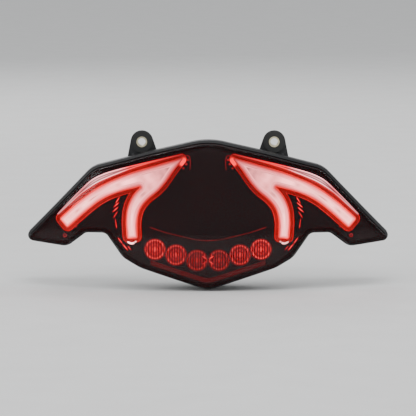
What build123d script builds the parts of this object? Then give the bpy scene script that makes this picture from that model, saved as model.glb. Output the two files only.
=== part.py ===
from build123d import *
from math import radians, sqrt, tan
import os

# LED tail light of a large scooter. Millimetres, +Z up, +X to the rider's right, -Y out of the lens.
# The origin is midway between the two upper ear bolts, on the plane that the ears bolt to.

os.makedirs("parts", exist_ok=True)

# Overall form
lens_width = 303.0
lens_height = 121.5
mount_depth = 58.0  # from the lens's nose back to the plane of the ears
plan_radius = 260.0  # the lens's sweep round the tail, seen from above
rise_radius = 230.0  # its belly, seen from the side
nose_low = 40.0  # the foremost height, below the layout's zero line

# Lens and the joint with its housing
lens_wall = 2.5
lens_skirt = 22.0
lens_round = 1.2
groove_gap = 0.4
rim_wall = 2.0
rim_near = 15.0
groove_floor = 24.0
rim_far = 26.0

# Housing
housing_wall = 2.2
wing_depth = 34.0
pocket_half = 72.0
back_gap = 3.0  # from the plane of the ears to the housing's flat back
gasket_thick = 3.0
gasket_inset = 0.4
rib_thick = 1.8
rib_rise = 4.5
rib_places = (85, 94, 127, 135)  # across each wing's back, clear of its screws and vent

# Ears, grommets and collars
ear_spacing = 112.0
ear_clear = 11.5  # from the lens's top edge up to the bolt
ear_radius = 9.5
ear_thick = 3.5
ear_roots = (-11, 9)  # across from the bolt to the two corners of its foot
ear_root_radius = 5.0
ear_root_drop = 9.0  # from the lens's top edge down to those corners
gusset_thick = 2.0
gusset_reach = 2.5
collar_bore = 3.2
collar_radius = 4.5
collar_flange = 8.5
collar_flange_thick = 1.2
grommet_neck = 6.0
grommet_radius = 9.0
grommet_lip = 2.1
collar_proud = 0.3

# Locating pins
pin_spacing = 130.0
pin_drop = 30.0
pin_radius = 4.0
pin_length = 15.0
pin_lead = 1.0

# Bezel
bezel_gap = 0.5
bezel_near = 6.0
bezel_thick = 2.0
hood_rise = 1.5
pillar_rise = 1.0
pillar_half = 14.0
bezel_post = 3.2
bezel_post_end = 29.0
bezel_boss = 4.6
bezel_boss_end = 37.0
bezel_pilot_in = 4.0  # solid post left between the bezel's back and the screw's hole

# Light guides, their trays and strips
guide_near = 4.5
guide_thick = 10.0
tray_gap = 0.4
tray_wall = 1.4
tray_lip = 1.6  # how far the tray's bright front rim stands out past its wall
tray_floor = 1.2
flange_wide = 1.2  # and its flange behind the bezel past the rim
flange_thick = 1.2
window_gap = 0.3
strip_thick = 0.8
strip_margin = 1.0
guide_led = 2.8
guide_led_tall = 1.0
led_window = 2.5
led_gap = 1.3  # from the guide's back to the tray's floor

# Bright blades above the outer arms
blade_thick = 1.3

# Brake optics, from the middle outwards
optic_first = 9.2
optic_step = 17.6
optic_climb = 4.4
optic_low = 48.5
optic_radius = 8.4
optic_depth = 7.0
optic_disc = 2.6
optic_tail = 3.2
optic_tail_gap = 1.4
optic_ribs = 7
optic_ring = 1.1
rib_height = 0.7
cup_gap = 0.1
cup_wall = 0.8
cup_ledge = 0.8
cup_lip = 0.4
carrier_near = 12.0
carrier_thick = 1.5
bezel_to_cup = 0.3

# Chin reflector
chin_margin = 4.2
chin_high = 3.8
chin_half = 48.0
chin_thick = 2.2
chin_proud = 0.3
chin_gap = 0.15
chin_middle = 60.0  # its middle, below the layout's zero line

# Brake board and heat sink
board_depth = 30.0
board_thick = 1.6
board_margin = 9.6
sink_dish = 6.0
sink_opening = 7.0
sink_plate = 14.0
sink_wall = 2.5
sink_plate_thick = 2.5
sink_seal = 1.0
fin_thick = 1.6
fin_pitch = 7.0
fin_count = 13
fin_proud = 9.0
sink_screws_out = 10.5
sink_boss = 3.2
sink_boss_deep = 8.0
sink_seal_inset = 0.6
board_post_wall = 0.8

# The brake LEDs, and the driver parts: place across and up, width, height, and how far each stands out
brake_led = 3.5
brake_led_tall = 0.7
brake_led_dome = 1.3
brake_led_dome_tall = 1.1
driver_sizes = [
    (0, -34.5, 6, 4.4, 1.6),
    (-6.5, -33, 2.6, 1.8, 1.9),
    (6.5, -33, 2.6, 1.8, 1.9),
    (-11.5, -33, 2, 1.2, 0.8),
    (11.5, -33, 2, 1.2, 0.8),
]

# Screws
screw_radius = 1.5
screw_head = 3.0
screw_head_tall = 2.0
screw_recess = 0.9
screw_cross = (1.2, 0.28)  # the recess's length and width, as shares of the head's radius
screw_crown = 0.4  # the head's rounding, as a share of its height
sink_screw_grip = 4.0  # how far a heat sink screw passes through plate and seal before its boss
bezel_screw_length = 16.0
board_screw_radius = 1.25
board_screw_head = 2.2
board_screw_length = 6.0
board_screw_head_tall = 1.6
board_screw_up = 3.7  # above the outermost optics
board_screw_clear = 0.5

# Connector socket and vents
socket_wide = 26.0
socket_tall = 15.0
socket_wall = 1.8
socket_long = 16.0
socket_up = 8.0  # above the layout's zero line
socket_corner = 3.2
terminal_wide = 2.8
terminal_thick = 0.8
terminal_pitch = 6.5
terminal_inside = 8.0
terminal_outside = 9.0
socket_seal_thick = 2.0
socket_seal_wide = 1.6
vent_x = 106.0
vent_z = -4.0
vent_radius = 3.2
vent_bore = 1.4
vent_long = 7.0
cap_wall = 1.6
cap_end = 1.4
cap_short = 1.0

reach = 150.0  # long enough to pass right through the lamp
deep = 100.0  # farther under the lens's skin than anything in the lamp
over = 1.0  # how far a cutting or a buried shape runs on past a face
swing = 65.0  # half of the turn that the lens's skin is drawn through
arc_start = -28.0  # its section's arc, from below the level of the nose
arc_turn = 73.0
wide = lens_width / 303
tall = lens_height / 121.5


# A point of the face's layout, drawn for a lens of 303 by 121.5 and following its real width and height
def spot(x, z):
    return (x * wide, z * tall)


# The lens's outline, right half from top centre to bottom centre, and the radius at each corner
lens_points = [
    spot(0, 49),
    spot(48, 38),
    spot(96.5, 24.6),
    spot(153.8, -35.8),
    spot(120, -38.6),
    spot(104, -26),
    spot(85, -25.5),
    spot(70, -46.5),
    spot(56, -54.5),
    spot(0, -72.5),
]
lens_radii = [60, 200, 22, 2.2, 9, 9, 9, 14, 30, 24]

# The arrow-shaped guide on the right: up the head, out along the outer arm, back, and down the inner arm
guide_points = [
    spot(20.3, 36.6),
    spot(45.3, 29.2),
    spot(67.5, 22.4),
    spot(88.8, 13.1),
    spot(107.5, -0.2),
    spot(125.3, -16.8),
    spot(118.8, -24.2),
    spot(102.4, -8.9),
    spot(88.6, 2.1),
    spot(72.6, 8.6),
    spot(54.6, 13.4),
    spot(62.8, 5.4),
    spot(67.8, -5.6),
    spot(68.8, -18),
    spot(67.6, -31.2),
    spot(59.2, -30.2),
    spot(60, -16.6),
    spot(57.2, -5.2),
    spot(50.2, 2.8),
    spot(42.2, 8.6),
    spot(35.4, 16.4),
    spot(29.6, 25.2),
]
guide_corners = {0: 0.7, 5: 1.6, 6: 1.6, 10: 0.8, 14: 1.2, 15: 1.2}

# The bright blade that follows the outer arm's upper edge, widest at the shoulder
blade_points = [
    spot(21, 40),
    spot(44, 34.4),
    spot(66, 29),
    spot(87, 22.6),
    spot(98, 17.2),
    spot(112, 3.6),
    spot(127.5, -13),
    spot(126.6, -13.6),
    spot(106, 6),
    spot(93, 15),
    spot(82, 20),
    spot(64, 27.2),
    spot(44, 33.2),
    spot(21, 38.9),
]
blade_corners = {0: 0.4, 6: 0.3, 7: 0.3, 13: 0.4}

# Where the guide's LEDs stand, along its two arms
outer_arm = [spot(30, 29.5), spot(58, 19.5), spot(80, 11.5), spot(98, 2), spot(118, -16)]
inner_arm = [spot(48, 12.5), spot(59, 1), spot(64, -12), spot(64, -26)]
outer_led_count = 12
inner_led_count = 6

# The bezel's four screws, and the crease of its lower hood
screw_spots = [spot(86, -12), spot(133, -28.6), spot(-86, -12), spot(-133, -28.6)]
hood_points = [spot(0, -32), spot(11, -31), spot(34, -25.6), spot(50, -20.5), spot(57, -24)]


# Height of the lens's top edge at a distance from the middle
def top_edge(x):
    a, b, c = lens_points[0:3]
    if x < b[0]:
        return a[1] + (b[1] - a[1]) * (x - a[0]) / (b[0] - a[0])
    return b[1] + (c[1] - b[1]) * (x - b[0]) / (c[0] - b[0])


ear_height = top_edge(ear_spacing / 2) + ear_clear
nose_y = -mount_depth
back_y = -back_gap
axis_y = nose_y + plan_radius
nose_z = -ear_height - nose_low * tall
board_y = nose_y + board_depth
guide_back = guide_near + guide_thick
tray_grow = tray_gap + tray_wall
lip_grow = tray_grow + tray_lip
floor_near = guide_back + led_gap
strip_near = floor_near + tray_floor
bezel_far = bezel_near + bezel_thick
hub = plan_radius - rise_radius
rim_inset = lens_wall + groove_gap
inner_inset = rim_inset + rim_wall
tub_inset = inner_inset - housing_wall
cup_bore = optic_radius + cup_gap
cup_radius = cup_bore + cup_wall
optic_spots = [(optic_first + optic_step * i, -optic_low + optic_climb * i) for i in range(3)]
optic_spots = [(-x, z) for x, z in reversed(optic_spots)] + optic_spots
standing = (Align.CENTER, Align.CENTER, Align.MIN)
hanging = (Align.CENTER, Align.CENTER, Align.MAX)
face = Plane(origin=(0, nose_y, -ear_height), x_dir=(1, 0, 0), z_dir=(0, -1, 0))


# The same layout plane, moved to a height along Y
def layout_at(y):
    return face.offset(nose_y - y)


# A closed outline from the right half's corners, mirrored to the left, and grown by an amount
def both_sides(points, radii, grow=0.0):
    mirrored = [(-x, z) for x, z in reversed(points[1:-1])]
    with BuildSketch(face) as outline:
        with BuildLine():
            FilletPolyline(*points, *mirrored, radius=radii + radii[-2:0:-1], close=True)
        make_face()
        if grow:
            offset(amount=grow)
    return outline.sketch


# The largest radius that each bend's runs leave room for, except at the corners that are given their own
def bend_radii(points, corners):
    radii = []
    for i, here in enumerate(points):
        before = Vector(*points[i - 1]) - Vector(*here)
        after = Vector(*points[(i + 1) % len(points)]) - Vector(*here)
        half_turn = (180 - before.get_angle(after)) / 2
        largest = 0.47 * min(before.length, after.length) / tan(radians(half_turn))
        radii.append(corners.get(i, largest))
    return radii


def one_side(points, corners, grow=0.0):
    with BuildSketch(face) as outline:
        with BuildLine():
            FilletPolyline(*points, radius=bend_radii(points, corners), close=True)
        make_face()
        if grow:
            offset(amount=grow)
    return outline.sketch


def lens_outline(grow=0.0):
    return both_sides(lens_points, lens_radii, grow)


def guide_outline(grow=0.0):
    return one_side(guide_points, guide_corners, grow)


# An outline in the layout's own coordinates, for use inside another sketch on the face
def flat(outline):
    return face.to_local_coords(outline)


# The rounded outline round all six optics at a margin, as the board and the heat sink follow it
def optic_outline(margin):
    with BuildSketch(face) as outline:
        with Locations(*optic_spots):
            Circle(margin)
        make_hull()
    return outline.sketch


# The lens's curved skin between two depths under its outer face
def skin(near, far):
    outward = Vector(0, -1, 0).rotate(Axis.Z, -swing)
    upright = outward.cross(Vector(0, 0, 1))
    with BuildPart() as band:
        with BuildSketch(Plane(origin=(0, axis_y, nose_z), x_dir=outward, z_dir=upright)):
            with BuildLine():
                outer = CenterArc((hub, 0), rise_radius - near, arc_start, arc_turn)
                inner = CenterArc((hub, 0), rise_radius - far, arc_start, arc_turn)
                Line(outer @ 0, inner @ 0)
                Line(outer @ 1, inner @ 1)
            make_face()
        revolve(axis=Axis((0, axis_y, 0), (0, 0, 1)), revolution_arc=2 * swing)
    return band.part


# What an outline cuts out of that skin, and no farther back than the given length
def curved_slab(outline, near, far, length=reach):
    with BuildPart() as slab:
        extrude(outline, amount=-length)
        add(skin(near, far), mode=Mode.INTERSECT)
    return slab.part


# The plane on the skin at a spot of the layout, facing out of the lamp
def on_skin(x, z, depth):
    height = z - ear_height - nose_z
    radial = hub + sqrt((rise_radius - depth) ** 2 - height**2)
    here = Vector(x, axis_y - sqrt(radial**2 - x**2), z - ear_height)
    outward = Vector(x, here.Y - axis_y, 0).normalized()
    normal = (here - Vector(0, axis_y, nose_z) - outward * hub).normalized()
    return Plane(origin=here, x_dir=Vector(0, 0, 1).cross(normal), z_dir=normal)


# Evenly spread places along a chain of points
def along(points, count):
    with BuildLine(face) as path:
        Polyline(*points)
    return [face.to_local_coords(path.line @ (i / (count - 1))) for i in range(count)]


def save(piece, name):
    piece.part.label = name
    export_step(piece.part, f"parts/{name}.step")


# Writes a right-hand piece and its mirror image on the left
def save_pair(piece, name):
    with BuildPart() as twin:
        add(mirror(piece.part, about=Plane.YZ, mode=Mode.PRIVATE))
    save(piece, f"{name}_right")
    save(twin, f"{name}_left")


# Lens: a curved face with a skirt all round that ends in the housing's groove
with BuildPart() as outer_lens:
    add(curved_slab(lens_outline(), 0, lens_skirt))
    add(curved_slab(lens_outline(-lens_wall), lens_wall, lens_skirt + over), mode=Mode.SUBTRACT)
    rim = faces().sort_by(SortBy.AREA)[-2:].sort_by(Axis.Y)[0].outer_wire().edges()
    fillet(rim, lens_round)
save(outer_lens, "outer_lens")

with BuildPart() as lens_bond_bead:
    add(curved_slab(lens_outline(groove_gap), lens_skirt, groove_floor))
    add(curved_slab(lens_outline(-rim_inset), lens_skirt - over, groove_floor + over), mode=Mode.SUBTRACT)
save(lens_bond_bead, "lens_bond_bead")


# The housing's middle, deeper than its wings
def pocket_outline(inset):
    with BuildSketch(face) as outline:
        add(flat(lens_outline(-tub_inset - inset)))
        Rectangle(2 * (pocket_half - inset), 4 * lens_height, mode=Mode.INTERSECT)
    return outline.sketch


# An ear's flat outline on the housing's back, right or left by side
def ear_outline(side):
    bolt = side * ear_spacing / 2
    with BuildSketch(layout_at(back_y)) as outline:
        with Locations((bolt, ear_height)):
            Circle(ear_radius)
        for root in ear_roots:
            with Locations((bolt + side * root, top_edge(ear_spacing / 2 + root) - ear_root_drop)):
                Circle(ear_root_radius)
        make_hull()
    return outline.sketch


# Stiffening ribs across a wing's back
def wing_ribs():
    with BuildSketch(face) as ribs:
        for x in rib_places:
            for side in (-1, 1):
                with Locations((side * x * wide, 0)):
                    Rectangle(rib_thick, 2 * lens_height)
        add(flat(lens_outline(-tub_inset - over)), mode=Mode.INTERSECT)
    return ribs.sketch


# Cylinders standing on the skin at the given spots, between two depths measured along its normal
def studs(spots, radius, near, far, seat):
    with BuildPart() as group:
        for x, z in spots:
            with Locations(on_skin(x, z, seat).offset(seat - near)):
                Cylinder(radius, far - near, align=hanging)
    return group.part


# Cylinders along Y at the given spots of the layout, between two heights of Y
def pegs(spots, radius, front, back):
    with BuildPart() as group:
        with BuildSketch(layout_at(back)):
            with Locations(*spots):
                Circle(radius)
        extrude(amount=back - front)
    return group.part


def socket_outline(shrink=0.0):
    with BuildSketch(layout_at(back_y)) as outline:
        with Locations((0, socket_up)):
            corner = socket_corner - 0.6 * shrink
            RectangleRounded(socket_wide - 2 * shrink, socket_tall - 2 * shrink, corner)
    return outline.sketch


def terminals():
    with BuildSketch(layout_at(back_y)) as blades:
        with Locations((0, socket_up)):
            with GridLocations(terminal_pitch, 1, 3, 1):
                Rectangle(terminal_wide, terminal_thick)
    return blades.sketch


sink_screw_spots = [
    (optic_spots[5][0] + sink_screws_out, optic_spots[5][1]),
    (optic_spots[0][0] - sink_screws_out, optic_spots[0][1]),
    (optic_spots[4][0], optic_spots[5][1] + sink_screws_out),
    (optic_spots[1][0], optic_spots[5][1] + sink_screws_out),
    (0, optic_spots[3][1] - sink_screws_out),
]
board_screw_high = optic_spots[5][1] + board_screw_up
board_screw_spots = [(-2 * optic_first, board_screw_high), (2 * optic_first, board_screw_high)]
ear_spots = [(-ear_spacing / 2, ear_height), (ear_spacing / 2, ear_height)]
pin_spots = [(-pin_spacing / 2, -pin_drop), (pin_spacing / 2, -pin_drop)]
vent_spots = [spot(-vent_x, vent_z), spot(vent_x, vent_z)]
cavity_far = wing_depth - housing_wall

with BuildPart() as rear_housing:
    add(curved_slab(lens_outline(groove_gap + rim_wall), rim_near, rim_far))
    add(curved_slab(lens_outline(-tub_inset), rim_far - over, wing_depth))
    add(curved_slab(pocket_outline(0), rim_far, deep, back_y - nose_y))
    add(curved_slab(wing_ribs(), wing_depth - over, wing_depth + rib_rise))
    for side in (-1, 1):
        extrude(ear_outline(side), amount=ear_thick)
        for across in (-ear_radius + gusset_thick, ear_radius - gusset_thick):
            x = side * (ear_spacing / 2 + across)
            root = top_edge(ear_spacing / 2 + across) - inner_inset - ear_height
            with BuildSketch(Plane.YZ.offset(x - gusset_thick / 2)):
                with BuildLine():
                    Polyline(
                        (back_y - over, root + over),
                        (back_y - over, -grommet_radius - 0.5),
                        (back_y - ear_thick, -grommet_radius - 0.5),
                        (back_y - ear_thick - gusset_reach, root + over),
                        close=True,
                    )
                make_face()
            extrude(amount=gusset_thick)
    add(studs(vent_spots, vent_radius, cavity_far - 0.5, wing_depth + vent_long, wing_depth))
    # the space inside, the pocket, and the groove for the lens's tongue
    add(curved_slab(lens_outline(-inner_inset), rim_near - over, cavity_far), mode=Mode.SUBTRACT)
    add(
        curved_slab(pocket_outline(housing_wall), cavity_far - over, deep, back_y - housing_wall - nose_y),
        mode=Mode.SUBTRACT,
    )
    groove = curved_slab(lens_outline(groove_gap), rim_near - over, groove_floor)
    core = curved_slab(lens_outline(-rim_inset), rim_near - 2 * over, groove_floor + over)
    add(groove - core, mode=Mode.SUBTRACT)
    # bosses inside for the bezel's and the heat sink's screws, and everything on the back
    add(studs(screw_spots, bezel_boss, bezel_post_end, bezel_boss_end, bezel_far))
    boss_front = back_y - housing_wall - sink_boss_deep
    add(pegs(sink_screw_spots, sink_boss, boss_front, back_y - over))
    add(pegs(pin_spots, pin_radius, back_y - over, back_y + pin_length))
    extrude(socket_outline(), amount=-socket_long)
    extrude(socket_outline(socket_wall), amount=-socket_long, mode=Mode.SUBTRACT)
    tips = edges().filter_by(GeomType.CIRCLE).filter_by(lambda e: abs(e.radius - pin_radius) < 0.001)
    chamfer(tips.group_by(Axis.Y)[-1], pin_lead)
    # what passes through the walls
    extrude(terminals(), amount=housing_wall + over, both=True, mode=Mode.SUBTRACT)
    add(pegs(ear_spots, grommet_neck, back_y - 2 * ear_thick, back_y + over), mode=Mode.SUBTRACT)
    add(pegs(sink_screw_spots, screw_radius, boss_front - over, back_y + over), mode=Mode.SUBTRACT)
    bezel_holes = studs(screw_spots, screw_radius, bezel_post_end - over, bezel_boss_end + over, bezel_far)
    vent_holes = studs(vent_spots, vent_bore, cavity_far - over, wing_depth + vent_long + over, wing_depth)
    add(bezel_holes, mode=Mode.SUBTRACT)
    add(vent_holes, mode=Mode.SUBTRACT)
    extrude(optic_outline(sink_opening), amount=-reach, mode=Mode.SUBTRACT)
save(rear_housing, "rear_housing")

with BuildPart() as body_gasket:
    add(curved_slab(lens_outline(groove_gap + rim_wall - gasket_inset), rim_far, rim_far + gasket_thick))
    inside = curved_slab(lens_outline(-tub_inset), rim_far - over, rim_far + gasket_thick + over)
    add(inside, mode=Mode.SUBTRACT)
    for side in (-1, 1):
        extrude(ear_outline(side), amount=reach, both=True, mode=Mode.SUBTRACT)
save(body_gasket, "body_gasket")

# The strip along the lower edge, between two distances from the lens's outline
def chin_outline(gap):
    with BuildSketch(face) as strip:
        add(flat(lens_outline(gap - chin_margin)))
        add(flat(lens_outline(-gap - chin_margin - chin_high)), mode=Mode.SUBTRACT)
        with Locations((0, -chin_middle * tall)):
            Rectangle(2 * (chin_half + gap), lens_height / 3, mode=Mode.INTERSECT)
    return strip.sketch


with BuildPart() as chin_reflector:
    chin_near = bezel_near - hood_rise - chin_proud
    add(curved_slab(chin_outline(0), chin_near, chin_near + chin_thick))
save(chin_reflector, "chin_reflector")

# Bezel: a thin gloss panel that follows the lens, with a hood over the optics and a pillar in the middle
bezel_outline = lens_outline(-lens_wall - bezel_gap)
with BuildPart() as bezel_panel:
    add(curved_slab(bezel_outline, bezel_near, bezel_far))
    with BuildSketch(face) as hood:
        with BuildLine():
            left_crease = [(-x, z) for x, z in hood_points[1:]]
            Spline(*reversed(left_crease), *hood_points)
            Polyline(hood_points[-1], spot(72, -80), spot(-72, -80), left_crease[-1])
        make_face()
        add(flat(bezel_outline), mode=Mode.INTERSECT)
    add(curved_slab(hood.sketch, bezel_near - hood_rise, bezel_near + 0.5))
    with BuildSketch(face) as pillar:
        with BuildLine():
            Polyline(
                spot(-pillar_half, -31),
                spot(-pillar_half, 30),
                spot(0, 60),
                spot(pillar_half, 30),
                spot(pillar_half, -31),
                close=True,
            )
        make_face()
        add(flat(bezel_outline), mode=Mode.INTERSECT)
    add(curved_slab(pillar.sketch, bezel_near - pillar_rise, bezel_near + 0.5))
    guide_window = guide_outline(lip_grow + window_gap)
    opening = curved_slab(guide_window, 0, bezel_far + over)
    add(opening, mode=Mode.SUBTRACT)
    add(mirror(opening, about=Plane.YZ, mode=Mode.PRIVATE), mode=Mode.SUBTRACT)
    add(pegs(optic_spots, cup_radius + bezel_to_cup, nose_y, board_y), mode=Mode.SUBTRACT)
    add(curved_slab(chin_outline(chin_gap), 0, chin_near + chin_thick), mode=Mode.SUBTRACT)
    add(studs(screw_spots, bezel_post, bezel_far - 0.5, bezel_post_end, bezel_far))
    pilot_near = bezel_far + bezel_pilot_in
    add(studs(screw_spots, screw_radius, pilot_near, bezel_post_end + over, bezel_far), mode=Mode.SUBTRACT)
save(bezel_panel, "bezel_panel")

# Light guides: an arrow-shaped bar whose face follows the lens
with BuildPart() as light_guide:
    add(curved_slab(guide_outline(), guide_near, guide_back))
save_pair(light_guide, "light_guide")

# Trays: a red cup round each guide, flanged behind the bezel, with a window for each LED
led_spots = along(outer_arm, outer_led_count) + along(inner_arm, inner_led_count)
led_planes = [on_skin(place.X, place.Y, strip_near) for place in led_spots]
with BuildPart() as guide_tray:
    add(curved_slab(guide_outline(tray_grow), bezel_near, strip_near))
    add(curved_slab(guide_outline(lip_grow), bezel_near, bezel_far))
    add(curved_slab(guide_outline(lip_grow + flange_wide), bezel_far, bezel_far + flange_thick))
    add(curved_slab(guide_outline(tray_gap), bezel_near - over, floor_near), mode=Mode.SUBTRACT)
    with Locations(*led_planes):
        Cylinder(led_window, 4, mode=Mode.SUBTRACT)
save_pair(guide_tray, "guide_tray")

with BuildPart() as led_strip:
    add(curved_slab(guide_outline(strip_margin), strip_near, strip_near + strip_thick))
save_pair(led_strip, "led_strip")

with BuildPart() as guide_leds:
    with Locations(*led_planes):
        Box(guide_led, guide_led, guide_led_tall, align=standing)
save_pair(guide_leds, "guide_leds")

# Blades: bright strips on the bezel's face
with BuildPart() as glint_blade:
    add(curved_slab(one_side(blade_points, blade_corners), bezel_near - blade_thick, bezel_near))
save_pair(glint_blade, "glint_blade")


# How far forward an optic's face stands, in Y
def optic_front(x, z):
    return on_skin(x, z, optic_depth).origin.Y


# Brake optics: a ringed disc with upright ribs on its face, and a cone behind it down to the LED
optic_back = board_y - optic_tail_gap
for number, (x, z) in enumerate(optic_spots, start=1):
    front = optic_front(x, z)
    with BuildPart() as brake_optic:
        with BuildSketch(Plane(origin=(x, front, z - ear_height), x_dir=(1, 0, 0), z_dir=(0, 0, 1))):
            with BuildLine():
                Polyline(
                    (0, rib_height),
                    (optic_radius - optic_ring, rib_height),
                    (optic_radius - optic_ring, 0),
                    (optic_radius, 0),
                    (optic_radius, optic_disc),
                    (optic_radius - cup_ledge, optic_disc),
                    (optic_tail, optic_back - front),
                    (0, optic_back - front),
                    close=True,
                )
            make_face()
        revolve(axis=Axis((x, front, z - ear_height), (0, 1, 0)))
        pitch = 2 * (optic_radius - optic_ring) / optic_ribs
        for i in range(optic_ribs):
            across = (i - (optic_ribs - 1) / 2) * pitch
            half = sqrt((optic_radius - optic_ring) ** 2 - (abs(across) + pitch / 2 - 0.1) ** 2)
            with BuildSketch(Plane.XY.offset(z - ear_height - half)):
                with BuildLine():
                    bow = ThreePointArc(
                        (x + across - pitch / 2, front + rib_height + 0.2),
                        (x + across, front),
                        (x + across + pitch / 2, front + rib_height + 0.2),
                    )
                    Line(bow @ 0, bow @ 1)
                make_face()
            extrude(amount=2 * half)
    save(brake_optic, f"brake_optic_{number}")

# Carrier: six cups joined by a thin plate, standing on the board
with BuildPart() as optic_carrier:
    add(curved_slab(optic_outline(board_margin), carrier_near, carrier_near + carrier_thick))
    for x, z in optic_spots:
        add(pegs([(x, z)], cup_radius, optic_front(x, z) - cup_lip, board_y))
    for x, z in optic_spots:
        front = optic_front(x, z)
        add(pegs([(x, z)], cup_bore, front - cup_lip - over, front + optic_disc), mode=Mode.SUBTRACT)
        add(pegs([(x, z)], cup_bore - cup_ledge, front, board_y + over), mode=Mode.SUBTRACT)
    screw_way = board_screw_head + board_screw_clear
    add(pegs(board_screw_spots, screw_way, nose_y, board_y + over), mode=Mode.SUBTRACT)
save(optic_carrier, "optic_carrier")

# Brake board with its LEDs and driver parts
with BuildPart() as brake_board:
    extrude(optic_outline(board_margin), amount=-(board_depth + board_thick))
    extrude(optic_outline(board_margin + over), amount=-board_depth, mode=Mode.SUBTRACT)
    board_holes = pegs(board_screw_spots, board_screw_radius, board_y - over, board_y + board_thick + over)
    add(board_holes, mode=Mode.SUBTRACT)
save(brake_board, "brake_board")

with BuildPart() as brake_leds:
    for x, z in optic_spots:
        with Locations(Plane(origin=(x, board_y, z - ear_height), x_dir=(1, 0, 0), z_dir=(0, -1, 0))):
            Box(brake_led, brake_led, brake_led_tall, align=standing)
            Cylinder(brake_led_dome, brake_led_dome_tall, align=standing)
save(brake_leds, "brake_leds")

# Driver parts: a regulator in the middle, with a capacitor and a resistor on each side
with BuildPart() as driver_parts:
    for x, z, across, high, out in driver_sizes:
        with Locations(Plane(origin=(x, board_y, z - ear_height), x_dir=(1, 0, 0), z_dir=(0, -1, 0))):
            Box(across, high, out, align=standing)
save(driver_parts, "driver_parts")

# Heat sink: a plate on the back, dished in to carry the board, with upright fins in the dish
board_back = board_y + board_thick
plate_near = back_y + sink_seal
plate_far = plate_near + sink_plate_thick


# A solid of the optics' outline at a margin, between two heights of Y
def optic_block(margin, front, back):
    with BuildPart() as block:
        with BuildSketch(layout_at(back)):
            add(flat(optic_outline(margin)))
        extrude(amount=back - front)
    return block.part


with BuildPart() as fins:
    with BuildSketch(layout_at(plate_far + fin_proud)):
        with Locations((0, -optic_low)):
            with GridLocations(fin_pitch, 1, fin_count, 1):
                Rectangle(fin_thick, lens_height)
        add(flat(optic_outline(sink_dish - sink_wall / 2)), mode=Mode.INTERSECT)
    extrude(amount=plate_far + fin_proud - board_back - sink_wall / 2)

with BuildPart() as heat_sink:
    add(optic_block(sink_plate, plate_near, plate_far))
    add(optic_block(sink_dish, board_back, plate_far))
    add(optic_block(sink_dish - sink_wall, board_back + sink_wall, plate_far + over), mode=Mode.SUBTRACT)
    add(fins)
    post_end = board_y + board_screw_length + 1
    add(pegs(board_screw_spots, board_screw_head + board_post_wall, board_back + over, post_end))
    add(pegs(sink_screw_spots, screw_radius, back_y - over, plate_far + over), mode=Mode.SUBTRACT)
    add(
        pegs(board_screw_spots, board_screw_radius, board_y, board_y + board_screw_length),
        mode=Mode.SUBTRACT,
    )
save(heat_sink, "heat_sink")

with BuildPart() as heat_sink_seal:
    add(optic_block(sink_plate - sink_seal_inset, back_y, plate_near))
    add(optic_block(sink_opening, back_y - over, plate_near + over), mode=Mode.SUBTRACT)
    add(pegs(sink_screw_spots, screw_radius, back_y - over, plate_far + over), mode=Mode.SUBTRACT)
save(heat_sink_seal, "heat_sink_seal")


# A pan-head screw with a cross recess: its seat is the plane's origin, and its shank goes down from it
def screws(seats, shank, length, head, head_tall):
    with BuildPart() as group:
        with Locations(*seats):
            Cylinder(shank, length, align=hanging)
            Cylinder(head, head_tall, align=standing)
        rims = edges().filter_by(GeomType.CIRCLE).filter_by(lambda e: abs(e.radius - head) < 0.001)
        crowns = [seat.offset(head_tall).origin for seat in seats]
        tops = [rim for rim in rims if min((crown - rim.arc_center).length for crown in crowns) < 0.01]
        fillet(tops, head_tall * screw_crown)
        longer, shorter = [share * head for share in screw_cross]
        with Locations(*[seat.offset(head_tall - screw_recess) for seat in seats]):
            Box(longer, shorter, head_tall, align=standing, mode=Mode.SUBTRACT)
            Box(shorter, longer, head_tall, align=standing, mode=Mode.SUBTRACT)
    return group


# A plane at a spot of the layout and a height of Y, facing back or front
def seat_at(x, z, y, way):
    return Plane(origin=(x, y, z - ear_height), x_dir=(-way, 0, 0), z_dir=(0, way, 0))


sink_screw_length = sink_boss_deep + sink_screw_grip
sink_seats = [seat_at(x, z, plate_far, 1) for x, z in sink_screw_spots]
heat_sink_screws = screws(sink_seats, screw_radius, sink_screw_length, screw_head, screw_head_tall)
save(heat_sink_screws, "heat_sink_screws")

board_seats = [seat_at(x, z, board_y, -1) for x, z in board_screw_spots]
board_screws = screws(
    board_seats, board_screw_radius, board_screw_length, board_screw_head, board_screw_head_tall
)
save(board_screws, "board_screws")

bezel_seats = []
for x, z in screw_spots:
    seat = on_skin(x, z, bezel_far).offset(bezel_far - bezel_boss_end)
    bezel_seats.append(Plane(origin=seat.origin, x_dir=-seat.x_dir, z_dir=-seat.z_dir))
bezel_screws = screws(bezel_seats, screw_radius, bezel_screw_length, screw_head, screw_head_tall)
save(bezel_screws, "bezel_screws")

# Connector: three blades through the wall into the socket, and a rubber ring round its root
with BuildPart() as socket_pins:
    extrude(terminals(), amount=-terminal_outside)
    extrude(terminals(), amount=housing_wall + terminal_inside)
    chamfer(faces().group_by(Axis.Y)[-1].edges(), terminal_thick * 0.3)
save(socket_pins, "socket_pins")

with BuildPart() as socket_seal:
    extrude(socket_outline(socket_wall), amount=-socket_seal_thick)
    extrude(socket_outline(socket_wall + socket_seal_wide), amount=-socket_seal_thick, mode=Mode.SUBTRACT)
save(socket_seal, "socket_seal")

# Breather caps: rubber cups pushed over the vent tubes
with BuildPart() as vent_caps:
    for x, z in vent_spots:
        mouth = on_skin(x, z, wing_depth).offset(-vent_long)
        with Locations(mouth.offset(-cap_end)):
            Cylinder(vent_radius + cap_wall, vent_long - cap_short, align=standing)
        with Locations(mouth):
            Cylinder(vent_radius, vent_long, align=standing, mode=Mode.SUBTRACT)
save(vent_caps, "vent_caps")

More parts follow.
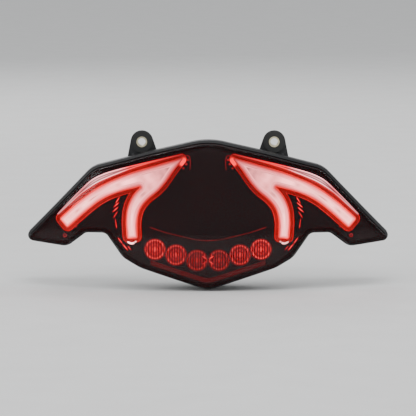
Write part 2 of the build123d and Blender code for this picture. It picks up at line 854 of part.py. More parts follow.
# Ears: a rubber grommet through each, with a steel sleeve that the bolt clamps
ear_front = back_y - ear_thick
grommet_back = -collar_flange_thick
with BuildPart() as ear_grommets:
    add(pegs(ear_spots, grommet_neck, ear_front - grommet_lip, grommet_back))
    add(pegs(ear_spots, grommet_radius, ear_front - grommet_lip, ear_front))
    add(pegs(ear_spots, grommet_radius, back_y, grommet_back))
    add(pegs(ear_spots, collar_radius, ear_front - grommet_lip - over, over), mode=Mode.SUBTRACT)
save(ear_grommets, "ear_grommets")

with BuildPart() as ear_collars:
    add(pegs(ear_spots, collar_radius, ear_front - grommet_lip - collar_proud, 0))
    add(pegs(ear_spots, collar_flange, grommet_back, 0))
    add(pegs(ear_spots, collar_bore, ear_front - reach, over), mode=Mode.SUBTRACT)
save(ear_collars, "ear_collars")
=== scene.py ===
from math import cos, pi, radians, sin

import bmesh
import bpy
import numpy as np
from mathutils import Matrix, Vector
from mathutils.bvhtree import BVHTree
from mathutils.geometry import delaunay_2d_cdt


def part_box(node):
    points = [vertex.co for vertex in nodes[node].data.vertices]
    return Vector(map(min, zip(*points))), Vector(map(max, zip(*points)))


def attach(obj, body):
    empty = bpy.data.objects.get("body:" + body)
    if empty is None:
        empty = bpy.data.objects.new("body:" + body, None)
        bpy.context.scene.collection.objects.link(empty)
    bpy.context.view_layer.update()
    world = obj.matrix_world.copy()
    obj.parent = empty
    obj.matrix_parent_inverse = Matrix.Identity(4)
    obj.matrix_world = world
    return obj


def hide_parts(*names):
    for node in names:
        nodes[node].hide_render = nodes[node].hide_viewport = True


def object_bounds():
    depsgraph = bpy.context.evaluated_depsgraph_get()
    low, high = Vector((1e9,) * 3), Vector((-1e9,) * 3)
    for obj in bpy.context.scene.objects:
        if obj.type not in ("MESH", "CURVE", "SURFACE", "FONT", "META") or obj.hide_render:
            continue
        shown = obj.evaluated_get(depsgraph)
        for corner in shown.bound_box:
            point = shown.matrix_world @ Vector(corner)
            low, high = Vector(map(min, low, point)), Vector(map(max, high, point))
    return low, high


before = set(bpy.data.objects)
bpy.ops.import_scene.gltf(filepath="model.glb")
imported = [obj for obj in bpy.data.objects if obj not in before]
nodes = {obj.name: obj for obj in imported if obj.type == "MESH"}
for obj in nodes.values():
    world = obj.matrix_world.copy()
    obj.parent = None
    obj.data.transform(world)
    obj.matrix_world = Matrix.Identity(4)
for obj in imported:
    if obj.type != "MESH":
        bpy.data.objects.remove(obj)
cadLow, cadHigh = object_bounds()
lampMiddle = Vector([(low + high) / 2 for low, high in zip(cadLow, cadHigh)])
print("tail light: frame loaded,", len(nodes), "pieces")


# Gives an input a plain value, or links another node's output to it
def feed(tree, socket, value):
    if isinstance(value, bpy.types.NodeSocket):
        tree.links.new(value, socket)
    else:
        socket.default_value = value


def setInputs(tree, node, **values):
    for name, value in values.items():
        feed(tree, node.inputs[name.replace("_", " ")], value)


def addNode(tree, kind, **settings):
    node = tree.nodes.new("ShaderNode" + kind)
    for name, value in settings.items():
        if name.replace("_", " ") in node.inputs:
            setInputs(tree, node, **{name: value})
        else:
            setattr(node, name, value)
    return node


def mathNode(tree, operation, *values):
    node = addNode(tree, "Math", operation=operation)
    for socket, value in zip(node.inputs, values):
        feed(tree, socket, value)
    return node.outputs["Value"]


def vectorNode(tree, operation, first, second=None):
    node = addNode(tree, "VectorMath", operation=operation)
    feed(tree, node.inputs[0], first)
    if second is not None:
        feed(tree, node.inputs["Scale" if operation == "SCALE" else 1], second)
    return node.outputs["Value" if operation == "LENGTH" else "Vector"]


# A value's place between two limits, given as a number between two others
def rangeNode(tree, value, low, high, toLow=0.0, toHigh=1.0):
    node = addNode(tree, "MapRange", Value=value, From_Min=low, From_Max=high, To_Min=toLow, To_Max=toHigh)
    return node.outputs["Result"]


# Stops are places from 0 to 1, each with a colour or a plain level
def rampNode(tree, stops, factor):
    ramp = addNode(tree, "ValToRGB", Fac=factor)
    elements = ramp.color_ramp.elements
    while len(elements) < len(stops):
        elements.new(0.5)
    for element, (place, tone) in zip(elements, stops):
        element.position = place
        element.color = (*tone, 1) if isinstance(tone, tuple) else (tone, tone, tone, 1)
    return ramp.outputs["Color"]


def objectPlace(tree):
    return addNode(tree, "TexCoord").outputs["Object"]


def noiseNode(tree, scale, detail, place=None):
    noise = addNode(tree, "TexNoise", Vector=place or objectPlace(tree), Scale=scale, Detail=detail)
    return noise.outputs["Fac"]


def split(tree, vector):
    return addNode(tree, "SeparateXYZ", Vector=vector).outputs


def edgeDepth(tree):
    return addNode(tree, "Attribute", attribute_name="edge").outputs["Fac"]


def newMaterial(name):
    material = bpy.data.materials.new(name)
    material.use_nodes = True
    tree = material.node_tree
    tree.nodes.clear()
    output = addNode(tree, "OutputMaterial")
    shader = addNode(tree, "BsdfPrincipled")
    tree.links.new(shader.outputs["BSDF"], output.inputs["Surface"])
    return material, tree, shader


def newGroup(name, inputs, outputs):
    group = bpy.data.node_groups.new(name, "ShaderNodeTree")
    for label, kind, default in inputs:
        socket = group.interface.new_socket(label, in_out="INPUT", socket_type="NodeSocket" + kind)
        socket.default_value = default
    for label, kind in outputs:
        group.interface.new_socket(label, in_out="OUTPUT", socket_type="NodeSocket" + kind)
    return group, group.nodes.new("NodeGroupInput").outputs, group.nodes.new("NodeGroupOutput")


def placeGroup(tree, group, **values):
    node = tree.nodes.new("ShaderNodeGroup")
    node.node_tree = group
    setInputs(tree, node, **values)
    return node.outputs


def dress(material, *pieces):
    for piece in pieces:
        nodes[piece].data.materials.clear()
        nodes[piece].data.materials.append(material)


# Housing, rubber, metal and board finishes, and the CAD pieces that have them
grain = {"roughSpread": 0.12, "depth": 0.0001, "patchScale": 24.0, "patchDetail": 4.0}
finishes = {
    "blackHousing": {"pieces": ["rear_housing"], "colour": (0.022, 0.022, 0.024), "rough": 0.45},
    "glossBlack": {"pieces": ["bezel_panel", "driver_parts"],
                   "colour": (0.004, 0.003, 0.0035), "rough": 0.09, "bump": 0.02},
    "blackRubber": {"pieces": ["lens_bond_bead", "body_gasket", "heat_sink_seal", "vent_caps", "ear_grommets"],
                    "colour": (0.03, 0.03, 0.03), "rough": 0.7, "scale": 1500.0},
    "castAluminium": {"pieces": ["heat_sink"],
                      "colour": (0.6, 0.61, 0.62), "rough": 0.38, "metallic": 1.0, "spread": 0.1},
    "zincSteel": {"pieces": ["heat_sink_screws", "board_screws", "bezel_screws"],
                  "colour": (0.62, 0.62, 0.63), "rough": 0.25, "metallic": 1.0, "spread": 0.1},
    "yellowZinc": {"pieces": ["ear_collars"], "colour": (0.66, 0.6, 0.42), "rough": 0.28, "metallic": 1.0},
    "tinnedBrass": {"pieces": ["socket_pins"], "colour": (0.8, 0.7, 0.45), "rough": 0.25, "metallic": 1.0},
    "redPlastic": {"pieces": ["socket_seal"], "colour": (0.3, 0.01, 0.015), "rough": 0.15},
    "boardWhite": {"pieces": ["brake_board", "brake_leds", "led_strip_left", "led_strip_right",
                              "guide_leds_left", "guide_leds_right"],
                   "colour": (0.7, 0.7, 0.68), "rough": 0.35},
}


# Moulded grain: a fine leathery height, with slow changes of gloss and of colour
def buildGrain():
    inputs = [("Scale", "Float", 900.0), ("Colour", "Color", (0.03, 0.03, 0.03, 1)),
              ("Spread", "Float", 0.25), ("Rough", "Float", 0.5), ("Rough Spread", "Float", 0.1)]
    outputs = [("Colour", "Color"), ("Rough", "Float"), ("Height", "Float")]
    group, given, result = newGroup("mouldedGrain", inputs, outputs)
    cells = addNode(group, "TexVoronoi", feature="SMOOTH_F1", Vector=objectPlace(group), Scale=given["Scale"])
    patches = noiseNode(group, grain["patchScale"], grain["patchDetail"])
    darker = mathNode(group, "SUBTRACT", 1.0, given["Spread"])
    lighter = mathNode(group, "ADD", 1.0, given["Spread"])
    shade = rangeNode(group, patches, 0.3, 0.7, darker, lighter)
    setInputs(group, result, Colour=vectorNode(group, "SCALE", given["Colour"], shade),
              Rough=mathNode(group, "MULTIPLY_ADD", patches, given["Rough Spread"], given["Rough"]),
              Height=cells.outputs["Distance"])
    return group


def grainMaterial(name, colour, rough, pieces=(), spread=0.2, scale=900.0, bump=0.15, metallic=0.0):
    material, tree, shader = newMaterial(name)
    surface = placeGroup(tree, grainGroup, Scale=scale, Colour=(*colour, 1), Spread=spread, Rough=rough,
                         Rough_Spread=grain["roughSpread"])
    relief = addNode(tree, "Bump", Height=surface["Height"], Strength=bump, Distance=grain["depth"])
    setInputs(tree, shader, Base_Color=surface["Colour"], Roughness=surface["Rough"],
              Normal=relief.outputs["Normal"], Metallic=metallic)
    dress(material, *pieces)
    return material


grainGroup = buildGrain()
finishOf = {name: grainMaterial(name, **values) for name, values in finishes.items()}
print("tail light: housing, rubber and metal finishes set")


# Lens: clear enough to look into from the front, nearly black along its side walls
lens = {"tones": [(0.3, (0.016, 0.001, 0.0015)), (0.7, (0.024, 0.0015, 0.002))], "toneScale": 30.0,
        "cover": [(0.1, 0.96), (0.5, 0.36)], "rough": 0.06, "bend": 1.49, "gloss": 0.4}


def lensMaterial():
    material, tree, shader = newMaterial("smokedLens")
    normal = addNode(tree, "NewGeometry").outputs["Normal"]
    forward = mathNode(tree, "ABSOLUTE", split(tree, normal)["Y"])  # 0 on the side walls, 1 on the front
    smoke = noiseNode(tree, lens["toneScale"], 3.0)
    setInputs(tree, shader, Base_Color=rampNode(tree, lens["tones"], smoke),
              Alpha=rampNode(tree, lens["cover"], forward), Roughness=lens["rough"], IOR=lens["bend"],
              Specular_IOR_Level=lens["gloss"])
    return material


dress(lensMaterial(), "outer_lens")


# Painted glow: the lamp's reflected light painted as soft emission on parts that are no lamps, with slow
# changes of brightness
glow = {"rough": 0.2, "dimmest": 0.45}
paintedGlows = {
    "cupRed": {"base": (0.12, 0.004, 0.006), "light": (0.3, 0.002, 0.004), "strength": 0.5},
    "chinRed": {"base": (0.2, 0.005, 0.008), "light": (0.22, 0.002, 0.004), "strength": 0.6, "scale": 60.0},
    "faintRed": {"base": (0.06, 0.002, 0.003), "light": (0.5, 0.0, 0.005), "strength": 1.5, "scale": 90.0},
    "dullRed": {"base": (0.15, 0.004, 0.006), "light": (0.8, 0.01, 0.02), "strength": 2.0},
    "warmRed": {"base": (0.2, 0.004, 0.008), "light": (1.0, 0.0, 0.012), "strength": 5.0, "scale": 150.0},
    "paleGlow": {"base": (0.6, 0.3, 0.3), "light": (1.0, 0.42, 0.4), "strength": 14.0, "scale": 150.0},
}


def paintedGlowMaterial(name, base, light, strength, scale=120.0):
    material, tree, shader = newMaterial(name)
    dim = tuple(glow["dimmest"] * part for part in light)
    tone = rampNode(tree, [(0.35, dim), (0.65, light)], noiseNode(tree, scale, 2.0))
    setInputs(tree, shader, Base_Color=(*base, 1), Roughness=glow["rough"], Emission_Color=tone,
              Emission_Strength=strength)
    return material


paintedGlowOf = {name: paintedGlowMaterial(name, **values) for name, values in paintedGlows.items()}
# The optic carrier's cups and the chin reflector get painted glow: the brake light's reflection painted on as
# emission
dress(paintedGlowOf["cupRed"], "optic_carrier")
dress(paintedGlowOf["chinRed"], "chin_reflector")


# Brake optics: upright bars of light, two rings and a bright heart, the outer ones the brightest
optic = {
    "rings": [(0.0, 1.0), (0.2, 0.6), (0.36, 0.16), (0.5, 0.5), (0.62, 0.22), (0.8, 0.26), (0.9, 0.95),
              (1.0, 0.3)],
    "barStep": 0.00209, "barEdge": (-0.4, 0.8), "betweenBars": 0.12,
    "tones": [(0.04, (0.02, 0.0, 0.0)), (0.2, (0.16, 0.0, 0.001)), (0.5, (0.8, 0.0, 0.008)),
              (0.95, (1.0, 0.05, 0.05))],
    "base": (0.07, 0.002, 0.003), "rough": 0.12,
    "strengths": [5.0, 3.5, 2.1, 2.1, 3.5, 5.0],
}


def buildOpticPattern():
    inputs = [("Centre", "Vector", (0, 0, 0)), ("Radius", "Float", 0.0084)]
    group, given, result = newGroup("opticPattern", inputs, [("Level", "Float")])
    gap = vectorNode(group, "SUBTRACT", objectPlace(group), given["Centre"])
    flat = vectorNode(group, "MULTIPLY", gap, (1, 0, 1))
    outward = mathNode(group, "DIVIDE", vectorNode(group, "LENGTH", flat), given["Radius"])
    turns = mathNode(group, "MULTIPLY", split(group, flat)["X"], 2 * pi / optic["barStep"])
    bars = rangeNode(group, mathNode(group, "COSINE", turns), *optic["barEdge"], optic["betweenBars"])
    rings = rampNode(group, optic["rings"], outward)
    setInputs(group, result, Level=mathNode(group, "MULTIPLY", rings, bars))
    return group


def opticMaterial(name, centre, radius, strength):
    material, tree, shader = newMaterial(name)
    pattern = placeGroup(tree, opticPattern, Centre=centre, Radius=radius)
    setInputs(tree, shader, Base_Color=(*optic["base"], 1), Roughness=optic["rough"],
              Emission_Color=rampNode(tree, optic["tones"], pattern["Level"]), Emission_Strength=strength)
    return material


opticPattern = buildOpticPattern()
for number, strength in enumerate(optic["strengths"], 1):
    low, high = [Vector(corner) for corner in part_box("brake_optic_%d" % number)]
    material = opticMaterial("optic%d" % number, (low + high) / 2, (high.x - low.x) / 2, strength)
    dress(material, "brake_optic_%d" % number)
print("tail light: lens and optics set")


# How new faces are laid: which old faces look forward, how far apart the rows are, and how near the edge they
# may come, the last two as shares of the grid
refacing = {"forward": -0.2, "rowStep": 0.87, "edgeGap": 0.6, "weld": 1e-6, "near": 1e-8}


# A piece's frontmost patch of faces, and the closed loops of places round it, the longest last. It goes through
# faces and edges in the mesh's own order, so that each run gives the same loops
def frontPatch(shape):
    left = {face for face in shape.faces if face.normal.y < refacing["forward"]}
    patches = []
    for first in shape.faces:
        if first not in left:
            continue
        left.remove(first)
        patch, queue = set(), [first]
        while queue:
            face = queue.pop()
            patch.add(face)
            near = {other for edge in face.edges for other in edge.link_faces} & left
            left -= near
            queue += near
        patches.append(patch)
    patch = min(patches, key=lambda faces: min(v.co.y for face in faces for v in face.verts))
    links = {}
    for edge in shape.edges:
        if sum(face in patch for face in edge.link_faces) == 1:
            a, b = edge.verts
            links.setdefault(a, []).append(b)
            links.setdefault(b, []).append(a)
    loops = []
    while links:
        start = min(links, key=lambda v: v.index)
        loop, last, here = [start], None, start
        while True:
            last, here = here, [v for v in links[here] if v is not last][0]
            if here is start:
                break
            loop.append(here)
        for v in loop:
            links.pop(v)
        loops.append([v.co.copy() for v in loop])
    patch = [face for face in shape.faces if face in patch]
    return patch, sorted(loops, key=lambda loop: sum((a - b).length for a, b in zip(loop, loop[1:])))


# A chain of places cut into even steps; a closed one runs on from its last place to its first
def resample(chain, step, closed=True):
    points = []
    for a, b in zip(chain, chain[1:] + chain[:1] if closed else chain[1:]):
        parts = max(1, round((b - a).length / step))
        points += [a.lerp(b, i / parts) for i in range(parts)]
    return points if closed else points + [chain[-1].copy()]


def loopDistance(points, loop):
    ends = np.array([(p.x, p.z) for p in loop])
    run = np.roll(ends, -1, axis=0) - ends
    best = np.full(len(points), 1e9)
    for start, way in zip(ends, run):
        share = np.clip(((points - start) @ way) / (way @ way + 1e-18), 0, 1)
        gap = points - start - share[:, None] * way
        best = np.minimum(best, (gap ** 2).sum(axis=1))
    return np.sqrt(best)


def nearestLoop(points, loops):
    return np.min([loopDistance(points, loop) for loop in loops], axis=0)


def insideLoops(points, loops):
    inside = np.zeros(len(points), bool)
    for loop in loops:
        for a, b in zip(loop, loop[1:] + loop[:1]):
            if a.z != b.z:
                crosses = (points[:, 1] > a.z) != (points[:, 1] > b.z)
                edge = (b.x - a.x) * (points[:, 1] - a.z) / (b.z - a.z) + a.x
                inside ^= crosses & (points[:, 0] < edge)
    return inside


# Staggered places inside some loops, joined to the loops' own places in even triangles
def fillLoops(loops, low, high, grid):
    inner = np.array([(x + row % 2 * grid / 2, z)
                      for row, z in enumerate(np.arange(low[2], high[2], grid * refacing["rowStep"]))
                      for x in np.arange(low[0], high[0], grid)])
    inner = inner[insideLoops(inner, loops)]
    inner = inner[nearestLoop(inner, loops) > grid * refacing["edgeGap"]]
    border, start = [], 0
    for loop in loops:
        border += [(start + i, start + (i + 1) % len(loop)) for i in range(len(loop))]
        start += len(loop)
    flat = [Vector((p.x, p.z)) for loop in loops for p in loop] + [Vector(p) for p in inner]
    places, _, faces, origins, _, _ = delaunay_2d_cdt(flat, border, [], 1, refacing["near"])
    spots = np.array([(p.x, p.y) for p in places])
    middles = np.array([np.mean(spots[list(face)], axis=0) for face in faces])
    kept = [face for face, inside in zip(faces, insideLoops(middles, loops)) if inside]
    return spots, kept, origins


def treeOf(name):
    mesh = nodes[name].data
    return BVHTree.FromPolygons([v.co for v in mesh.vertices], [face.vertices for face in mesh.polygons])


# Where a straight look meets the first of some pieces, from the front or, with way -1, from behind
def surfaceY(trees, x, z, way=1):
    places = [tree.ray_cast(Vector((x, -way, z)), Vector((0, way, 0)))[0] for tree in trees]
    return min([place.y for place in places if place], key=lambda y: way * y, default=None)


def addPiece(name, shape, material, stands=()):
    mesh = bpy.data.meshes.new(name)
    shape.to_mesh(mesh)
    shape.free()
    mesh.materials.append(material)
    piece = bpy.data.objects.new(name, mesh)
    bpy.context.scene.collection.objects.link(piece)
    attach(piece, "root")
    if stands:
        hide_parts(*stands)
    return piece


# A copy of a piece with its front made again, finely, with a crown and lengthwise flutes. Its "edge" layer
# holds the distance to the front's edge, or with fromInner to its inner edge; elsewhere it is rest
def reface(source, name, material, slot, grid, crown, crownWidth, flute=0.0, fluteStep=1.0,
           fromInner=False, rest=0.0):
    tree = treeOf(source)
    shape = bmesh.new()
    shape.from_mesh(nodes[source].data)
    bmesh.ops.remove_doubles(shape, verts=shape.verts, dist=refacing["weld"])
    shape.normal_update()
    shape.verts.index_update()
    patch, loops = frontPatch(shape)
    loops = [resample(loop, grid) for loop in loops]
    bmesh.ops.delete(shape, geom=patch, context="FACES_ONLY")
    edgeLayer = shape.verts.layers.float.new("edge")
    for vert in shape.verts:
        vert[edgeLayer] = rest
    spots, faces, origins = fillLoops(loops, *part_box(source), grid)
    rim = [place for loop in loops for place in loop]
    depth = nearestLoop(spots, loops)
    measured = loopDistance(spots, loops[0]) if fromInner else depth
    front = []
    for i, (x, z) in enumerate(spots):
        onRim = bool(origins[i]) and origins[i][0] < len(rim)
        base = rim[origins[i][0]].y if onRim else surfaceY([tree], x, z)
        if base is None:
            base = min(rim, key=lambda p: (p.x - x) ** 2 + (p.z - z) ** 2).y
        rise = 1 - (1 - min(depth[i] / crownWidth, 1)) ** 2
        wave = flute * (1 - cos(2 * pi * depth[i] / fluteStep)) * rise
        vert = shape.verts.new((x, base - crown * rise + wave, z))
        vert[edgeLayer] = measured[i]
        front.append(vert)
    for face in faces:
        made = shape.faces.new([front[i] for i in face])
        made.smooth = True
        made.normal_update()
        if made.normal.y > 0:
            made.normal_flip()
    return addPiece(name, shape, material, [source])


# Light guides: bright arms and a dimmer head, redder at the edges. Stops are millimetres from the edge, with
# the colour there
guide = {
    "shape": {"grid": 0.00055, "crown": 0.0009, "crownWidth": 0.0026, "flute": 0.0001, "fluteStep": 0.0013},
    "glow": {"stops": [(0.0, (0.2, 0.0, 0.003)), (0.6, (0.45, 0.006, 0.012)), (1.3, (0.62, 0.05, 0.07)),
                       (2.4, (0.85, 0.13, 0.16)), (3.8, (1.0, 0.22, 0.25))],
             "strength": 14.0, "base": (0.6, 0.15, 0.15), "streak": 0.75, "heart": (0.0, 0.12, 0.08)},
    "headLevel": 0.4, "outward": (0.018, 0.1), "downward": (-0.03, -0.062),  # from the head's level to full
}

# The red rims round them, with the guides' light painted on as a glow that is brightest beside the guides
rim = {
    "shape": {"grid": 0.0005, "crown": 0.0004, "crownWidth": 0.0012, "fromInner": True, "rest": 0.003},
    "glow": {"stops": [(0.0, (1.0, 0.0, 0.01)), (1.4, (0.95, 0.0, 0.008)), (2.4, (0.55, 0.0, 0.003)),
                       (3.2, (0.16, 0.0, 0.001)), (4.0, (0.05, 0.0, 0.0))],
             "strength": 21.0, "base": (0.3, 0.004, 0.008), "streak": 0.4},
}
streaks = {"alongScale": 60.0, "acrossScale": 2600.0, "deepest": 0.0042, "noise": (0.35, 0.65), "rough": 0.22}


# How brightly a guide and its rim's painted glow shine from place to place
def buildBarLevel():
    group, _, result = newGroup("barLevel", [], [("Level", "Float")])
    place = split(group, objectPlace(group))
    across = mathNode(group, "ABSOLUTE", place["X"])
    outer = rangeNode(group, across, *guide["outward"], guide["headLevel"])
    lower = rangeNode(group, place["Z"], *guide["downward"], guide["headLevel"])
    setInputs(group, result, Level=mathNode(group, "MAXIMUM", outer, lower))
    return group


# Emission graded from the edge: the guides' own lamp light, and on the rims a painted glow of that light
def edgeGlowMaterial(name, stops, strength, base, streak, heart=(0, 0, 0)):
    material, tree, shader = newMaterial(name)
    edge = edgeDepth(tree)
    far = stops[-1][0]
    share = rangeNode(tree, edge, 0.0, far / 1000)
    tone = rampNode(tree, [(place / far, colour) for place, colour in stops], share)
    along = vectorNode(tree, "SCALE", vectorNode(tree, "ABSOLUTE", objectPlace(tree)), streaks["alongScale"])
    shallow = mathNode(tree, "MINIMUM", edge, streaks["deepest"])
    across = mathNode(tree, "MULTIPLY", shallow, streaks["acrossScale"])
    noise = noiseNode(tree, 1.0, 2.0, vectorNode(tree, "ADD", along, across))
    level = placeGroup(tree, barLevel)["Level"]
    bright = mathNode(tree, "MULTIPLY", rangeNode(tree, noise, *streaks["noise"], 1 - streak), level)
    warm = vectorNode(tree, "SCALE", heart, mathNode(tree, "MULTIPLY", share, level))
    lit = vectorNode(tree, "SCALE", vectorNode(tree, "ADD", tone, warm), bright)
    setInputs(tree, shader, Base_Color=(*base, 1), Roughness=streaks["rough"], Emission_Color=lit,
              Emission_Strength=strength)
    return material


# Blades above the outer arms: a painted reflection of the guides' light, a thin red line that opens into a pale
# flare, with a dark band painted along it
blade = {
    "shape": {"grid": 0.0005, "crown": 0.0005, "crownWidth": 0.0016},
    "reach": (0.02, 0.13),
    "tones": [(0.0, (0.12, 0.0, 0.001)), (0.28, (0.55, 0.004, 0.01)), (0.42, (0.8, 0.02, 0.03)),
              (0.5, (1.0, 0.28, 0.3)), (0.68, (1.0, 0.42, 0.44)), (0.78, (0.6, 0.1, 0.12)),
              (0.88, (0.45, 0.16, 0.17)), (1.0, (0.3, 0.06, 0.07))],
    "bandDepth": 0.003,
    "bands": [(0.0, 0.9), (0.16, 1.0), (0.34, 0.1), (0.52, 0.16), (0.7, 0.6), (1.0, 0.85)],
    "base": (0.3, 0.08, 0.08), "rough": 0.15, "metallic": 0.6, "strength": 8.0,
}


def bladeGlintMaterial():
    material, tree, shader = newMaterial("bladePaintedGlint")
    across = mathNode(tree, "ABSOLUTE", split(tree, objectPlace(tree))["X"])
    tone = rampNode(tree, blade["tones"], rangeNode(tree, across, *blade["reach"]))
    bands = rampNode(tree, blade["bands"], rangeNode(tree, edgeDepth(tree), 0.0, blade["bandDepth"]))
    setInputs(tree, shader, Base_Color=(*blade["base"], 1), Roughness=blade["rough"],
              Metallic=blade["metallic"], Emission_Color=vectorNode(tree, "MULTIPLY", tone, bands),
              Emission_Strength=blade["strength"])
    return material


barLevel = buildBarLevel()
guideGlow = edgeGlowMaterial("guideGlow", **guide["glow"])
rimPaintedGlow = edgeGlowMaterial("rimPaintedGlow", **rim["glow"])
bladePaintedGlint = bladeGlintMaterial()
for side in ("left", "right"):
    reface("light_guide_" + side, "guideBar_" + side, guideGlow, "guide", **guide["shape"])
    reface("guide_tray_" + side, "trayRim_" + side, rimPaintedGlow, "tray", **rim["shape"])
    reface("glint_blade_" + side, "blade_" + side, bladePaintedGlint, "blade", **blade["shape"])
print("tail light: light guides, rims and blades made")


# Beads lie on the pieces under them. Their places, radii and steps are millimetres in the lamp's own layout,
# which has its zero below the line between the mounting bolts
layoutDrop = 0.04729
bead = {"sides": 6, "sink": 0.0001, "tip": 0.25, "taper": 5, "frontRing": 16, "backRing": 20}


def softened(chain, rounds, closed):
    for _ in range(rounds):
        for i in range(len(chain)):
            if closed or 0 < i < len(chain) - 1:
                chain[i] = (chain[i - 1] + 2 * chain[i] + chain[(i + 1) % len(chain)]) / 4
    return chain


# A half-round bead along a chain of places; an open one tapers at its ends
def makeBead(name, places, radius, material, slot, on, closed=False, step=1.2, soft=6, way=1):
    radius, step = radius / 1000, step / 1000
    chain = resample([Vector((x / 1000, 0, z / 1000 - layoutDrop)) for x, z in places], step, closed)
    chain = softened(chain, soft, closed)
    shape = bmesh.new()
    rows, count = [], len(chain)
    for i, place in enumerate(chain):
        y = surfaceY(on, place.x, place.z, way)
        if y is None:
            continue
        ahead = (i + 1) % count if closed else min(i + 1, count - 1)
        run = chain[ahead] - chain[i - 1 if closed else max(i - 1, 0)]
        across, up = Vector((run.z, 0, -run.x)).normalized(), Vector((0, -way, 0))
        fromEnd = min(i, count - 1 - i) * step
        full = radius if closed else radius * min(1.0, bead["tip"] + fromEnd / (bead["taper"] * radius))
        seat = Vector((place.x, y + bead["sink"] * way, place.z))
        turns = [pi * k / bead["sides"] for k in range(bead["sides"] + 1)]
        rows.append([shape.verts.new(seat + full * (across * cos(t) + up * sin(t))) for t in turns])
    for a, b in zip(rows, rows[1:] + rows[:1] if closed else rows[1:]):
        for k in range(bead["sides"]):
            shape.faces.new((a[k], a[k + 1], b[k + 1], b[k])).smooth = True
        shape.faces.new((a[0], b[0], b[-1], a[-1]))
    if not closed:
        shape.faces.new(rows[0])
        shape.faces.new(rows[-1][::-1])
    bmesh.ops.recalc_face_normals(shape, faces=shape.faces)
    return addPiece(name, shape, material)


def ringPlaces(x, z, radius, count):
    return [(x + radius * cos(2 * pi * k / count), z + radius * sin(2 * pi * k / count)) for k in range(count)]


# Fine lines of painted reflection, glowing beads where the lamp's light shows on the bezel, drawn for the right
# side: name, places, radius, finish, softening
paintedReflectionLines = [
    ("headFrame", [(15.2, 26), (14.6, 33), (15.6, 38.4), (20, 38.2)], 0.35, "faintRed", 6),
    ("flameTop", [(74.2, 3.2), (77.6, -2.2)], 0.5, "warmRed", 1),
    ("flameUpper", [(74.6, -1.2), (79.4, -5.6)], 0.55, "warmRed", 1),
    ("flameMiddle", [(75.2, -5), (80.2, -9.6)], 0.5, "warmRed", 1),
    ("flameLower", [(76, -8.8), (79.4, -14.4)], 0.4, "warmRed", 1),
    ("flameTail", [(77.8, -14.6), (76.6, -23)], 0.3, "warmRed", 2),
    ("sparkOuter", [(75.6, -30.6), (71.8, -35.4)], 0.5, "warmRed", 1),
    ("sparkMiddle", [(71.6, -35.8), (67, -41.2)], 0.5, "warmRed", 1),
    ("sparkInner", [(67.4, -37.2), (64.4, -40.8)], 0.35, "warmRed", 1),
]
# A pale painted glow along the arm's heel, and rings of painted glint round the bosses and the guide tips
armHeel = {"places": [(68.3, -32.4), (66.3, -34.5), (63.7, -35.5), (61.3, -34.2), (59.3, -32)], "radius": 0.75}
frontRings = {  # centre and radius
    "bossLow": (120.8, -30.8, 1.7), "bossHigh": (111.5, -22.4, 1.1),
    "tipTop": (16.9, 34.6, 0.8), "tipMiddle": (18.2, 31.2, 0.8), "tipLow": (20.6, 27.8, 0.7),
}
opticCross = {"centre": -48.5, "arm": [(0.9, 0.5), (2.8, 2.4), (5.2, 3.6)], "radius": 0.4}
hoodLine = {"places": [(-49, -20.9), (-34, -25.7), (-11, -31.1), (0, -32.1), (11, -31.1), (34, -25.7),
                       (49, -20.9)], "radius": 0.3}

onBezel = [treeOf("bezel_panel")]
onRim = onBezel + [treeOf("guide_tray_left"), treeOf("guide_tray_right")]
onOptics = [treeOf(name) for name in ("brake_optic_3", "brake_optic_4", "optic_carrier")]
for side, sign in (("Left", -1), ("Right", 1)):
    for name, places, radius, finish, soft in paintedReflectionLines:
        mirrored = [(sign * x, z) for x, z in places]
        makeBead(name + side, mirrored, radius, paintedGlowOf[finish], "tray", onBezel, soft=soft, step=0.8)
    mirrored = [(sign * x, z) for x, z in armHeel["places"]]
    makeBead("armHeel" + side, mirrored, armHeel["radius"], paintedGlowOf["paleGlow"], "tray", onRim, soft=2, step=0.8)
    for name, (x, z, ring) in frontRings.items():
        places = ringPlaces(sign * x, z, ring, bead["frontRing"])
        makeBead(name + side, places, 0.35, paintedGlowOf["dullRed"], "tray", onRim, closed=True, step=0.5)
# The cross is a painted reflection, glowing beads where the two middle optics meet
for across in (-1, 1):  # the cross of light where the two middle optics meet
    for up in (-1, 1):
        places = [(across * x, up * z + opticCross["centre"]) for x, z in opticCross["arm"]]
        makeBead("heart%d%d" % (across > 0, up > 0), places, opticCross["radius"], paintedGlowOf["warmRed"], "tray",
                 onOptics, step=0.6)
# The hood line is a painted reflection, a faint red glowing bead along the bezel
makeBead("hoodLine", hoodLine["places"], hoodLine["radius"], paintedGlowOf["faintRed"], "tray", onBezel)
print("tail light: lit lines made")


# Moulded detail on the housing's flat back: ribs round the socket, ejector marks and a blank round insert
back = {
    "socketFrame": [(-21, -3), (21, -3), (21, 19), (-21, 19)],
    "ribs": {"ribUp": [(22.4, 20), (44, 29.5)], "ribSide": [(23, 8), (66, 8)],
             "ribDown": [(22.4, -4), (56, -17)]},
    "ribRadius": 0.9,
    "marks": {  # centre and radius
        "ejectorInner": (34, -14, 2.2), "ejectorOuter": (62, -6, 2.2), "ejectorTop": (31, 15, 2.2),
        "insert": (50, 18, 4.2), "insertHeart": (50, 18, 2.7)},
    "markRadius": 0.25,
}
onHousing = {"material": finishOf["blackHousing"], "slot": "housing", "on": [treeOf("rear_housing")], "way": -1}
makeBead("socketFrame", back["socketFrame"], back["ribRadius"], closed=True, soft=3, **onHousing)
for side, sign in (("Left", -1), ("Right", 1)):
    for name, places in back["ribs"].items():
        makeBead(name + side, [(sign * x, z) for x, z in places], back["ribRadius"], **onHousing)
    for name, (x, z, ring) in back["marks"].items():
        places = ringPlaces(sign * x, z, ring, bead["backRing"])
        makeBead(name + side, places, back["markRadius"], closed=True, step=0.6, **onHousing)
print("tail light: back detail made")


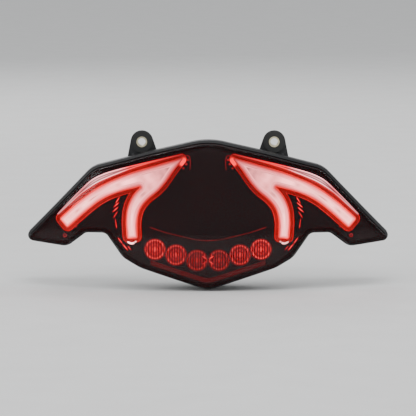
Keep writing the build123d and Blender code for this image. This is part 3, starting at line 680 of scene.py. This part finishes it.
# Studio: a pale floor, a pale surround, soft lights and a camera a little above the lamp
studio = {
    "floor": {"radius": 60.0, "gap": 0.0005, "colour": (0.95, 0.95, 0.945), "rough": 0.9},
    "surround": (0.6, 0.61, 0.62), "surroundStrength": 0.95,
    "lights": {  # place, size and power
        "overhead": ((0.2, -0.6, 2.2), (1.6, 1.2), 14.0),
        "frontStrip": ((0.0, -2.0, 1.75), (2.2, 0.16), 9.0),
        "leftSoft": ((-2.0, -1.2, 1.0), (1.0, 1.4), 12.0),
        "rightSoft": ((2.0, 0.8, 1.2), (1.0, 1.4), 12.0),
        "backSoft": ((-0.6, 2.2, 1.3), (1.4, 1.0), 14.0),
    },
    "camera": {"distance": 2.9, "elevation": 6.0, "frameWidth": 0.352, "sensor": 36.0, "farEnd": 200.0},
}


def makeFloor(radius, gap, colour, rough):
    shape = bmesh.new()
    bmesh.ops.create_circle(shape, cap_ends=True, segments=96, radius=radius)
    mesh = bpy.data.meshes.new("studioFloor")
    shape.to_mesh(mesh)
    shape.free()
    floor = bpy.data.objects.new("studioFloor", mesh)
    floor.location = (0, 0, cadLow[2] - gap)
    bpy.context.scene.collection.objects.link(floor)
    floor.data.materials.append(grainMaterial("paleFloor", colour, rough, spread=0.02, bump=0.0))


def aimAtLamp(holder, place):
    holder.location = place
    holder.rotation_euler = (lampMiddle - Vector(place)).to_track_quat("-Z", "Y").to_euler()
    bpy.context.scene.collection.objects.link(holder)


def makeLight(name, place, size, power):
    light = bpy.data.lights.new(name, "AREA")
    light.shape = "RECTANGLE"
    light.size, light.size_y = size
    light.energy = power
    aimAtLamp(bpy.data.objects.new(name, light), place)


def makeCamera(distance, elevation, frameWidth, sensor, farEnd):
    camera = bpy.data.cameras.new("camera")
    camera.sensor_width = sensor
    camera.lens = sensor * distance / frameWidth
    camera.clip_end = farEnd
    holder = bpy.data.objects.new("camera", camera)
    tilt = radians(elevation)
    aimAtLamp(holder, lampMiddle + Vector((0, -distance * cos(tilt), distance * sin(tilt))))
    bpy.context.scene.camera = holder


makeFloor(**studio["floor"])
for name, values in studio["lights"].items():
    makeLight(name, *values)
world = bpy.data.worlds.new("studio")
world.use_nodes = True
background = world.node_tree.nodes["Background"]
background.inputs["Color"].default_value = (*studio["surround"], 1)
background.inputs["Strength"].default_value = studio["surroundStrength"]
bpy.context.scene.world = world
makeCamera(**studio["camera"])
print("tail light: studio and camera set")
